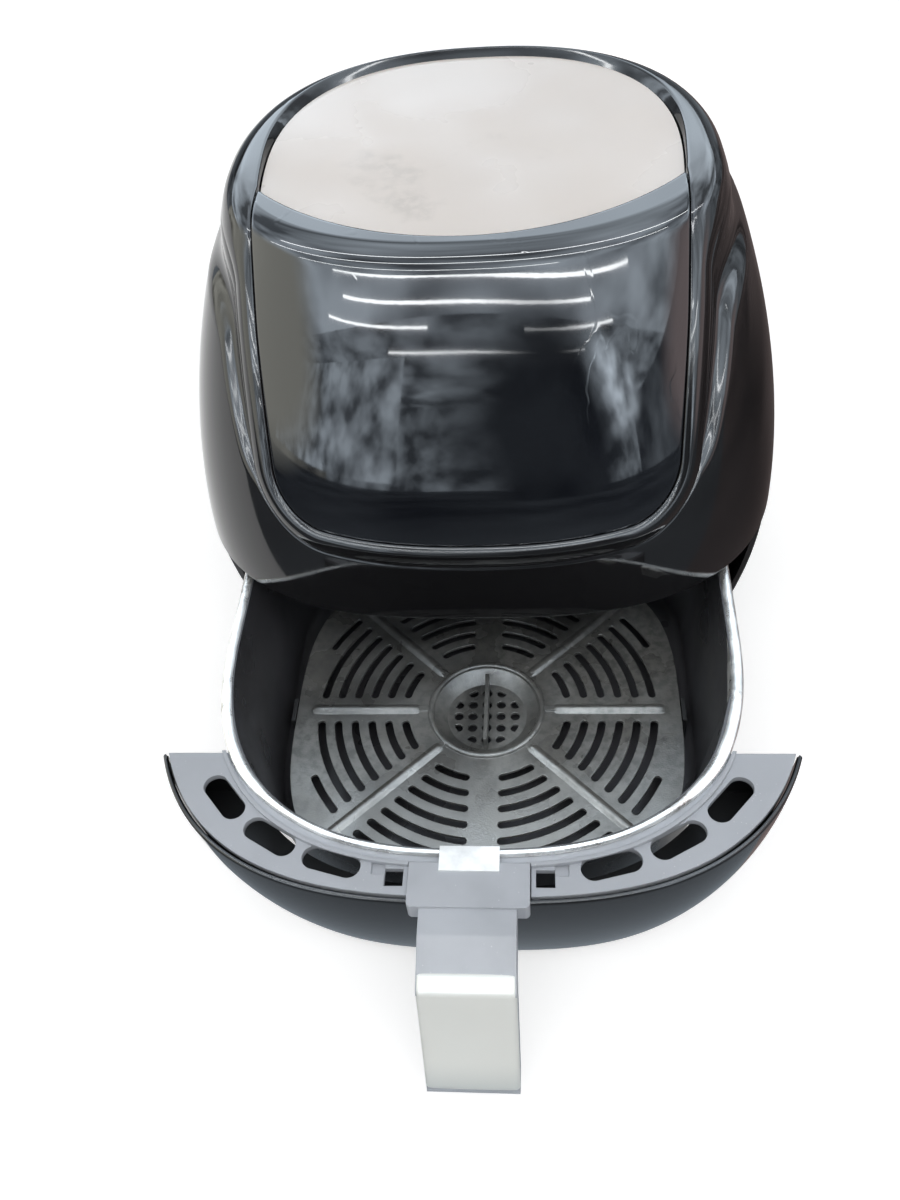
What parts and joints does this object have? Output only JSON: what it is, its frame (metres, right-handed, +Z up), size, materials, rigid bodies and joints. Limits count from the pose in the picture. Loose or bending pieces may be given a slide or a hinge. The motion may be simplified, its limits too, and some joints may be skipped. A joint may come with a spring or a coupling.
{
  "type": "air fryer",
  "caption": "Countertop air fryer with a pull-out basket drawer, lift-out fry tray, curved front screen, heater and fan inside.",
  "frame": {"origin": "centre of the bounding box footprint, on the table under the feet, with the drawer standing open as at rest", "axes": "+Z up; -Y towards the drawer front and handle; +X to the right as seen from above with the handle towards the viewer"},
  "size_m": [0.2954, 0.4602, 0.2671],
  "materials": {
    "gloss_black": "high gloss moulded black",
    "lens_black": "polished dark acrylic",
    "matt_black": "fine matt moulded black",
    "grey_plastic": "satin dark grey moulding",
    "soft_grip": "soft touch dark grey",
    "silver_trim": "satin silver paint",
    "nonstick_pan": "satin non-stick coating",
    "rolled_rim": "plain sheet edge, slightly stained",
    "nonstick_tray": "worn non-stick coating",
    "silicone": "matt black silicone",
    "rubber": "matt black rubber",
    "aluminised_steel": "bright sheet",
    "steel": "zinc plated",
    "element_sheath": "heat-darkened sheath",
    "ceramic": "glazed ceramic",
    "motor_steel": "zinc-grey pressed can",
    "copper_winding": "enamelled copper over laminations",
    "bronze": "sintered bronze",
    "fan_aluminium": "pressed bare aluminium",
    "fan_plastic": "glass-filled black",
    "circuit_board": "green solder mask",
    "transformer_tape": "yellow wound tape",
    "relay_case": "blue relay case",
    "capacitor_sleeve": "dark shrink sleeve",
    "white_plastic": "natural nylon"
  },
  "bodies": {
    "housing": {"outer_shell": "gloss_black", "front_bezel": "gloss_black", "front_lens": "lens_black", "top_panel": "lens_black", "base_pan": "matt_black", "deck_seal": "matt_black", "left_rail": "matt_black", "right_rail": "matt_black", "basket_glides": "matt_black", "cord_inlet": "matt_black", "rear_outlet": "matt_black", "lens_frame": "matt_black", "lid_recess": "gloss_black", "display_carrier": "matt_black", "board_posts": "matt_black", "switch_body": "matt_black", "rubber_feet": "rubber", "exhaust_duct": "aluminised_steel", "cavity_deck": "aluminised_steel", "cavity_liner": "aluminised_steel", "heat_reflector": "aluminised_steel", "motor_bracket": "aluminised_steel", "liner_screws": "steel", "foot_screws": "steel", "element_clips": "steel", "element_guard": "steel", "temperature_probe": "steel", "heating_element": "element_sheath", "element_terminals": "ceramic", "thermal_cutout": "ceramic", "motor_can": "motor_steel", "motor_stator": "copper_winding", "lower_bush": "bronze", "upper_bush": "bronze", "power_board": "circuit_board", "display_board": "circuit_board", "transformer": "transformer_tape", "relay": "relay_case", "capacitor": "capacitor_sleeve"},
    "drawer": {"fascia_skin": "gloss_black", "basket_runners": "matt_black", "fascia_frame": "grey_plastic", "handle_block": "grey_plastic", "handle_pad": "soft_grip", "handle_cover": "silver_trim", "basket": "nonstick_pan", "basket_bracket": "nonstick_pan", "basket_rim": "rolled_rim", "basket_clip": "rolled_rim", "handle_screws": "steel"},
    "tray": {"fry_tray": "nonstick_tray", "tray_grip": "nonstick_tray", "tray_bumpers": "silicone"},
    "fan": {"fan_nut": "steel", "motor_rotor": "steel", "convection_fan": "fan_aluminium", "cooling_fan": "fan_plastic"},
    "switch": {"switch_plunger": "white_plastic"}
  },
  "joints": [
    {"name": "drawer_slide", "type": "slide", "parent": "housing", "child": "drawer", "axis": [0, 1, 0], "range_m": [-0.006, 0.135]},
    {"name": "tray_lift", "type": "slide", "parent": "drawer", "child": "tray", "axis": [0, 0, 1], "range_m": [0, 0.065]},
    {"name": "fan_spin", "type": "hinge", "parent": "housing", "child": "fan", "pos_m": [0, 0.0931, 0.15], "axis": [0, 0, 1], "continuous": true},
    {"name": "switch_press", "type": "slide", "parent": "housing", "child": "switch", "axis": [0, 1, 0], "range_m": [0, 0.0025], "stiffness_N_per_m": 150, "springref_m": -0.002}
  ]
}
